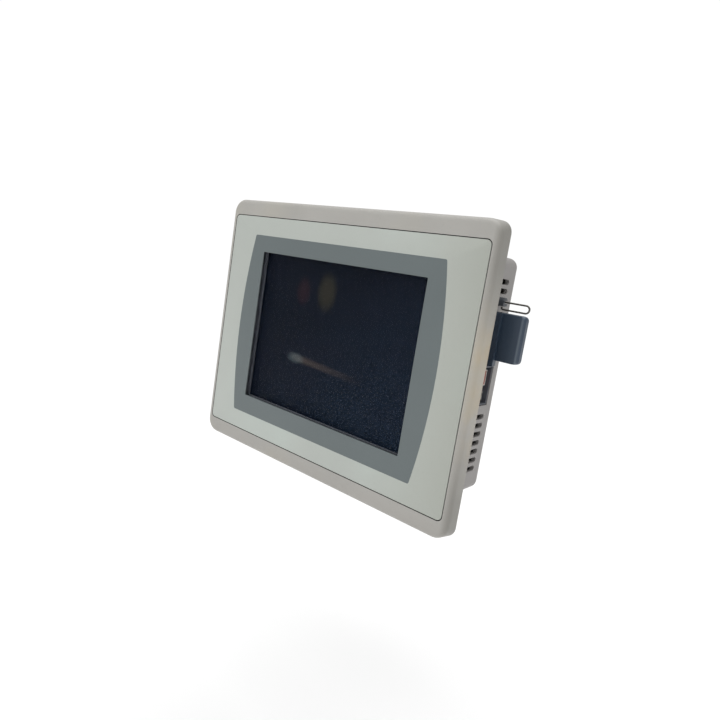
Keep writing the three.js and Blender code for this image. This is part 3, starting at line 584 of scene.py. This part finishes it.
def smooth(obj, angle=38):
    """Smooth shading, with edges sharper than the angle kept crisp."""
    bm = bmesh.new()
    bm.from_mesh(obj.data)
    for face in bm.faces:
        face.smooth = True
    for edge in bm.edges:
        edge.smooth = edge.is_manifold and edge.calc_face_angle(0) < math.radians(angle)
    bm.to_mesh(obj.data)
    bm.free()


def piece(obj, body, slot, paints, *nodes):
    """Gives an object its surfaces, the body it moves with, and the CAD nodes it stands in for."""
    for paint in paints:
        obj.data.materials.append(PAINT[paint])
    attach(obj, body)
    if nodes:
        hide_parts(*nodes)


# ---------- pieces ----------
def make_bezel():
    """One moulding, lofted as a closed loop of rings: outside, recess for the overlay, window, back, groove.

    Its corners are rounder at the front than at the back. The walls of the gap round the overlay and of the
    window are painted dark: painted shade.
    """
    w = bezel_high.x
    h = bezel_high.z
    corner = 8.2
    back_corner = 5.9
    shoulder = 2.8
    back_edge = 0.5
    ow = overlay_high.x + GAP
    oh = overlay_high.z + GAP
    recess = 2.9
    lip = 0.22
    tw = touch_high.x + GAP
    th = half(touch_low.z, touch_high.z) + GAP
    back_of_touch = touch_high.y + GAP
    window_corner = 0.4
    window_edge = 0.15
    rim_front = panel_low.y - GAP
    rw = rim_high.x + GAP
    rh = half(rim_low.z, rim_high.z) + GAP
    gw = gasket_high.x + GAP
    gh = half(gasket_low.z, gasket_high.z) + GAP
    groove = gasket_low.y - GAP
    groove_width = 5.6
    groove_corner = 10.3
    groove_inner_corner = 5
    rings = []
    paints = []

    def add(paint, *more):
        rings.extend(more)
        paints.extend([paint] * len(more))

    # Painted shade: near-black on the walls of the gap round the overlay, dark bay plastic on the window's
    # wall.
    skin, shaded_gap, shaded_window_wall = range(3)
    part = back_edge * 0.3
    add(skin,
        ring(w - back_edge, h - back_edge, back_corner - back_edge, 0),
        ring(w - part, h - part, back_corner - part, -part),
        ring(w, h, back_corner, -back_edge),
        ring(w, h, corner, FRONT + shoulder))
    steps = 10
    for i in range(1, steps + 1):
        a = i / steps * QUARTER
        inset = shoulder * (1 - math.cos(a))
        add(skin, ring(w - inset, h - inset, corner - inset, FRONT + shoulder * (1 - math.sin(a))))
    add(skin, ring(ow + lip, oh + lip, recess + lip, FRONT))
    add(shaded_gap,
        ring(ow + lip / 4, oh + lip / 4, recess, FRONT + lip / 4),
        ring(ow, oh, recess, FRONT + lip),
        ring(ow, oh, recess, touch_low.y))
    add(skin, ring(tw, th, window_corner, touch_low.y, WINDOW_Z))
    add(shaded_window_wall,
        ring(tw, th, window_corner, back_of_touch, WINDOW_Z),
        ring(WINDOW_W + window_edge, WINDOW_H + window_edge, 0.5, back_of_touch, WINDOW_Z),
        ring(WINDOW_W, WINDOW_H, window_corner, back_of_touch + window_edge, WINDOW_Z))
    add(skin,
        ring(WINDOW_W, WINDOW_H, window_corner, rim_front, WINDOW_Z),
        ring(rw, rh, window_corner, rim_front, WINDOW_Z),
        ring(rw, rh, window_corner, 0, WINDOW_Z),
        ring(gw - groove_width, gh - groove_width, groove_inner_corner, 0, HOUSE_Z),
        ring(gw - groove_width, gh - groove_width, groove_inner_corner, groove, HOUSE_Z),
        ring(gw, gh, groove_corner, groove, HOUSE_Z),
        ring(gw, gh, groove_corner, 0, HOUSE_Z))
    bm = bmesh.new()
    loft(bm, rings, closed=True, paints=paints)
    bezel = object_from(bm, "bezel_shell")
    tail_low, tail_high = box_mm("touch_tail")
    cutter = bmesh.new()
    room = 1
    block(cutter,
          (tail_low.x - room, touch_low.y, tail_low.z - room),
          (tail_high.x + room, room, touch_low.z + room))
    carve(bezel, cutter)
    smooth(bezel)
    piece(bezel, "terminal", "bezel", ["bezel", "hollow", "bay_plastic"], "front_bezel")


def make_bezel_posts():
    """The four hollow posts that the display bracket is screwed to, joined to the back of the bezel."""
    bore = 1.7
    radius = 3.4
    edge = 0.2
    foot = -0.1
    top = 4.3
    bm = bmesh.new()
    for index in range(1, 5):
        low, high = box_mm(f"bracket_screw_{index}")
        x = middle(low.x, high.x)
        z = middle(low.z, high.z)
        profile = [(bore, top), (radius - edge, top), (radius, top - edge), (radius, foot), (bore, foot)]
        loft(bm, [circle(r, y, x, z) for r, y in profile], closed=True)
    posts = object_from(bm, "bezel_posts")
    smooth(posts)
    piece(posts, "terminal", "bezel", ["bezel"])


def make_overlay():
    """The printed sheet: a light border, and a grey band with bowed sides round the window."""
    clearance = 0.08
    w = overlay_high.x - clearance
    h = overlay_high.z - clearance
    back = overlay_high.y
    y = overlay_low.y
    soft = 0.14
    window_soft = 0.1
    border = [
        ring(w, h, 2.6, back),
        ring(w, h, 2.6, y + soft),
        ring(w - soft / 3, h - soft / 3, 2.5, y + soft / 3),
        ring(w - soft, h - soft, 2.4, y)]
    band = [
        ring(67.8, 55.25, 0.9, y, bulge=4.9),
        ring(WINDOW_W + window_soft, WINDOW_H + window_soft, 0.7, y, WINDOW_Z),
        ring(WINDOW_W, WINDOW_H, 0.6, y + window_soft, WINDOW_Z)]
    under = [ring(WINDOW_W, WINDOW_H, 0.6, back, WINDOW_Z)]
    paints = [0] * len(border) + [1] * len(band) + [0]
    bm = bmesh.new()
    loft(bm, border + band + under, closed=True, paints=paints)
    sheet = object_from(bm, "overlay_sheet")
    smooth(sheet)
    piece(sheet, "terminal", "overlay", ["overlay", "band"], "front_overlay")


def cut_vents(cutter, rear, past):
    """Slots with round ends: three and seven in each side, and twelve in the top."""
    length = 17
    height = 2.8
    centre = rear - 9.2 - length / 2
    pitch = 4.8
    upper = [49.1 - i * pitch for i in range(3)]
    lower = [-22.4 - i * pitch for i in range(7)]
    for side in (-1, 1):
        for z in upper + lower:
            start, stop = sorted((side * (HOUSE_W - WALL - past), side * (HOUSE_W + past)))
            prism(cutter, obround(centre, z, length, height), "X", start, stop)
    top_count = 12
    top_pitch = pitch * 1.6
    for i in range(top_count):
        x = (i - (top_count - 1) / 2) * top_pitch
        outline = [(x + v, u) for u, v in obround(centre, 0, length, height)]
        prism(cutter, outline, "Z", house_high.z - WALL - past, house_high.z + past)


def cut_sockets(cutter):
    """The ways in: the card's slot and the port bay in the right side, the sockets in the bottom."""
    for node, room in (("memory_card", 0.7), ("port_insert", GAP)):
        low, high = box_mm(node)
        block(cutter,
              (HOUSE_W - 6, low.y - room, low.z - room),
              (HOUSE_W + 4, high.y + room, high.z + room))
    for node, left, right, tall in (("ethernet_jack", -0.5, 16.5, 13.9), ("power_header", -0.5, 18.5, 14.1),
                                    ("serial_port", 6, 25, 11)):
        low = box_mm(node)[0]
        block(cutter,
              (low.x + left, low.y - GAP, house_low.z - 4),
              (low.x + right, low.y + tall, house_low.z + WALL + 1))


def cut_clamp_slots(cutter):
    """Two slots in the top and two in the bottom, for the levers that clamp the terminal in its panel."""
    for x in (-52, 52):
        for z in (house_low.z, house_high.z):
            block(cutter, (x - 6, 8, z - 5), (x + 6, 13, z + 5))


def make_housing():
    """A hollow shell, open at the front: rings along the inside, round the front rim and over the outside."""
    corner = 5
    front = house_low.y
    rear = house_high.y
    round_rear = 4
    inner_w = HOUSE_W - WALL
    inner_h = HOUSE_H - WALL
    inner_corner = corner - WALL
    inner_rear = rear - WALL - 0.6
    edge = 0.2
    rings = [
        ring(inner_w - 1, inner_h - 1, inner_corner - 0.9, inner_rear, HOUSE_Z),
        ring(inner_w, inner_h, inner_corner, inner_rear - 1, HOUSE_Z),
        ring(inner_w, inner_h, inner_corner, front, HOUSE_Z),
        ring(HOUSE_W - edge, HOUSE_H - edge, corner - edge, front, HOUSE_Z),
        ring(HOUSE_W, HOUSE_H, corner, front + edge, HOUSE_Z)]
    steps = 10
    for i in range(steps + 1):
        a = i / steps * QUARTER
        inset = round_rear * (1 - math.cos(a))
        y = rear - round_rear * (1 - math.sin(a))
        rings.append(ring(HOUSE_W - inset, HOUSE_H - inset, corner - inset, y, HOUSE_Z))
    bm = bmesh.new()
    loft(bm, rings)
    shell = object_from(bm, "housing_shell")
    cutter = bmesh.new()
    cut_vents(cutter, rear, 2)
    cut_sockets(cutter)
    cut_clamp_slots(cutter)
    screw_bore = 1.7
    for name in [f"cover_screw_{i}" for i in range(1, 5)] + ["earth_screw"]:
        low, high = box_mm(name)
        outline = round_outline(screw_bore, middle(low.x, high.x), middle(low.z, high.z))
        prism(cutter, outline, "Y", rear - 10, rear + 4)
    carve(shell, cutter)
    smooth(shell, 30)
    soften(shell, 0.22, 2, 50)
    piece(shell, "terminal", "housing", ["housing"], "rear_housing")


def make_door():
    """A flat leaf with a bevelled free edge and rounded corners, on a barrel that its pin goes through."""
    low = door_low
    high = door_high
    barrel = half(low.y, high.y)
    pivot_x = low.x + barrel
    pivot_y = middle(low.y, high.y)
    end_x = high.x - pivot_x
    height = high.z - low.z
    bevel = 1.1
    run = DOOR_BEVEL_RUN
    nose = 0.25
    corner = 2.2
    edge = 0.45
    pin_bore = 1.1
    knuckle = 3.1

    def rounded(radius, depth):
        """How far a round edge of this radius is set back, at a depth below its end face."""
        return 0 if depth >= radius else radius - math.sqrt(radius ** 2 - (radius - depth) ** 2)

    depths = [0, 0.06, 0.15, 0.28, 0.45, 0.8, 1.2, 1.7, 2.2, 4]
    rings = []
    for z in depths + [height - d for d in reversed(depths)]:
        depth = min(z, height - z)
        end = end_x - rounded(corner, max(depth, 0.02))
        thick = barrel - rounded(edge, depth)
        steps = 16
        angles = [(1 + 2 * i / steps) * QUARTER for i in range(steps + 1)]
        outline = [(thick * math.cos(a), thick * math.sin(a)) for a in angles]
        face = [
            (end - run, thick),
            (end - run * 0.45, thick - bevel * 0.35),
            (end - nose, thick - bevel),
            (end, thick - bevel - 0.3)]
        outline += [(x, -y) for x, y in face]
        outline += reversed(face)
        rings.append([((pivot_x + x) * MM, (pivot_y + y) * MM, (low.z + z) * MM) for x, y in outline])
    bm = bmesh.new()
    loft(bm, rings)
    door = object_from(bm, "door_leaf")
    cutter = bmesh.new()
    block(cutter,
          (low.x - 1, low.y - 1, high.z - knuckle),
          (pivot_x + barrel + 0.6, high.y + 1, high.z + 1))
    prism(cutter, round_outline(pin_bore, pivot_x, pivot_y), "Z", low.z - 1, high.z + 0.5)
    carve(door, cutter)
    smooth(door, 32)
    piece(door, "card_door", "door_black", ["door_black"], "card_door")


def make_bail():
    """A thin wire bent to a long loop, whose two ends turn in towards each other at the housing."""
    low, high = box_mm("wire_bail")
    radius = half(low.y, high.y) - 0.01
    y = middle(low.y, high.y)
    zc = middle(low.z, high.z)
    span = half(low.z, high.z) - radius
    x0 = low.x + radius
    bend = 0.9
    end_gap = 0.5

    def arc(cx, cz, r, start, stop, steps):
        angles = [start + (stop - start) * i / steps for i in range(steps + 1)]
        return [(cx + r * math.cos(a), y, cz + r * math.sin(a)) for a in angles]

    points = [(x0, y, zc + end_gap)]
    points += arc(x0 + bend, zc + span - bend, bend, 2 * QUARTER, QUARTER, 6)
    points += arc(high.x - radius - span, zc, span, QUARTER, -QUARTER, 22)
    points += arc(x0 + bend, zc - span + bend, bend, -QUARTER, -2 * QUARTER, 6)
    points.append((x0, y, zc - end_gap))
    bm = bmesh.new()
    tube(bm, points, radius)
    bail = object_from(bm, "bail_loop")
    smooth(bail, 50)
    piece(bail, "wire_bail", "bail_wire", ["bail_wire"], "wire_bail")


def make_screw(node, paint):
    """A pan-head screw with a crossed recess turned to a random angle, its head towards +Y."""
    low, high = box_mm(node)
    x = middle(low.x, high.x)
    z = middle(low.z, high.z)
    shank = 1.4
    head = 2.8
    head_height = 1.8
    base = high.y - head_height
    profile = [(shank - 0.05, low.y), (shank, low.y + 0.3), (shank, base)]
    dome = [(1, 0), (1, 0.5), (0.93, 1.05), (0.75, 1.5), (0.5, 1.72), (0.2, head_height)]
    profile += [(head * share, base + rise) for share, rise in dome]
    bm = bmesh.new()
    loft(bm, [circle(r, y, x, z) for r, y in profile])
    screw = object_from(bm, node + "_detail")
    turn = random.uniform(0, math.pi)
    arm = 1.7
    slot = 0.33
    recess = 1.1
    for angle in (turn, turn + QUARTER):
        c = math.cos(angle)
        s = math.sin(angle)
        bar = [(-arm, -slot), (arm, -slot), (arm, slot), (-arm, slot)]
        outline = [(x + u * c - v * s, z + u * s + v * c) for u, v in bar]
        cutter = bmesh.new()
        prism(cutter, outline, "Y", high.y - recess, base + 3)
        carve(screw, cutter)
    smooth(screw, 34)
    piece(screw, "terminal", paint, [paint], node)


def add_blocks(name, boxes, slot, paint, width=0.08):
    bm = bmesh.new()
    for low, high in boxes:
        block(bm, low, high)
    made = object_from(bm, name)
    smooth(made)
    soften(made, width)
    piece(made, "terminal", slot, [paint])


def make_port_details():
    """In the port bay: the socket's contacts, the pale rim round the switch and a row of small components."""
    low, high = box_mm("usb_socket")
    pads = []
    for i in range(4):
        y = low.y + 2.2 + i * 2.6
        pads.append(((high.x - 4.4, y, low.z + 2.42), (high.x - 1.0, y + 1.1, low.z + 2.56)))
    add_blocks("usb_contacts", pads, "connector_metal", "gold", 0.03)
    low, high = box_mm("mode_switch_body")
    face = high.x + 0.02
    front = high.x + 0.27
    rim = 0.4
    edges = [
        ((face, low.y, low.z), (front, low.y + rim, high.z)),
        ((face, high.y - rim, low.z), (front, high.y, high.z)),
        ((face, low.y + rim, low.z), (front, high.y - rim, low.z + rim)),
        ((face, low.y + rim, high.z - rim), (front, high.y - rim, high.z))]
    add_blocks("switch_frame", edges, "switch_white", "switch_white", 0.05)
    low, high = box_mm("port_board")
    parts = []
    for i in range(5):
        y = low.y + 1 + i * 2.5
        z = low.z + 7.0 + 0.01 * i
        parts.append(((high.x + 0.02, y, z), (high.x + 0.7, y + 1.2, z + 0.7)))
    add_blocks("port_board_parts", parts, "dark_plastic", "dark_plastic")


def make_network_contacts():
    low = box_mm("ethernet_jack")[0]
    pins = []
    for i in range(8):
        x = low.x + 3.6 + i * 1.1
        pins.append(((x, low.y + 2.1, low.z + 2), (x + 0.5, low.y + 2.5, low.z + 12)))
    add_blocks("network_contacts", pins, "connector_metal", "gold", 0.04)


def make_serial_posts():
    """The two hexagonal posts beside the serial port, each with a threaded hole drawn as a plain one."""
    low = box_mm("serial_port")[0]
    y = low.y + 6.2
    radius = 2.6
    bore = 1.3
    for index, x in enumerate((low.x + 3.2, low.x + 27.8)):
        bm = bmesh.new()
        prism(bm, round_outline(radius, x, y, 6), "Z", house_low.z - 3.6, house_low.z - 0.05)
        post = object_from(bm, f"serial_post_{index + 1}")
        cutter = bmesh.new()
        prism(cutter, round_outline(bore, x, y, 20), "Z", house_low.z - 5, house_low.z - 1.5)
        carve(post, cutter)
        smooth(post)
        soften(post, 0.15)
        piece(post, "terminal", "fastener", ["fastener"])


def make_plug_screws():
    """The slotted clamping screws in the back of the terminal plug."""
    low, high = box_mm("terminal_plug")
    y = high.y
    z = low.z + 4
    pitch = 5.08
    radius = 1.5
    slot = 0.22
    for i in range(3):
        x = low.x + 2.8 + i * pitch
        profile = [(radius, y - 1.4), (radius, y - 0.7), (radius - 0.15, y - 0.55)]
        bm = bmesh.new()
        loft(bm, [circle(r, depth, x, z) for r, depth in profile])
        head = object_from(bm, f"plug_screw_{i + 1}")
        cutter = bmesh.new()
        block(cutter, (x - 2, y - 0.9, z - slot), (x + 2, y + 1, z + slot))
        carve(head, cutter)
        smooth(head)
        piece(head, "terminal_plug", "fastener", ["fastener"])


def make_board_details():
    """Small components and a row of round capacitors standing on the main board."""
    board_back = box_mm("main_board")[0].y + 1.6
    boxes = []
    for column in range(9):
        for row in range(3):
            x = 22 + column * 4.2
            z = 34 - row * 7 + random.uniform(-1, 1)
            right = x + random.uniform(1.4, 3)
            back = board_back + random.uniform(0.6, 2.4)
            top = z + random.uniform(1, 4)
            boxes.append(((x, board_back + 0.02, z), (right, back, top)))
    add_blocks("board_components", boxes, "dark_plastic", "dark_plastic")
    can = [(2.9, 0.05), (3.1, 0.4), (3.1, 7.6), (2.8, 8)]
    z = 50.5
    bm = bmesh.new()
    for i in range(5):
        x = -52 + i * 8.5
        loft(bm, [circle(radius, board_back + depth, x, z) for radius, depth in can])
    cans = object_from(bm, "board_capacitors")
    smooth(cans)
    piece(cans, "terminal", "connector_metal", ["connector_metal"])


def paint_cad_nodes():
    """The CAD nodes that stay get the surface of their own slot, save two, and slightly softened edges."""
    own_paint = {"display_panel": "display", "bail_bracket": "boss_plastic"}
    slots = {part["node"]: part["material_slot"] for part in frame["record"]["subparts"]}
    for node, obj in frame["nodes"].items():
        if obj.hide_render:
            continue
        obj.data.materials.clear()
        obj.data.materials.append(PAINT[own_paint.get(node, slots[node])])
        for polygon in obj.data.polygons:
            polygon.use_smooth = True
        weld = obj.modifiers.new("weld", "WELD")
        weld.merge_threshold = 0.002 * MM
        soften(obj, 0.12)


make_bezel()
make_bezel_posts()
make_overlay()
make_housing()
make_door()
make_bail()
for number in range(1, 5):
    make_screw(f"cover_screw_{number}", "cover_fastener")
    make_screw(f"bracket_screw_{number}", "fastener")
    make_screw(f"board_screw_{number}", "fastener")
make_screw("earth_screw", "brass")
make_port_details()
make_network_contacts()
make_serial_posts()
make_plug_screws()
make_board_details()
paint_cad_nodes()
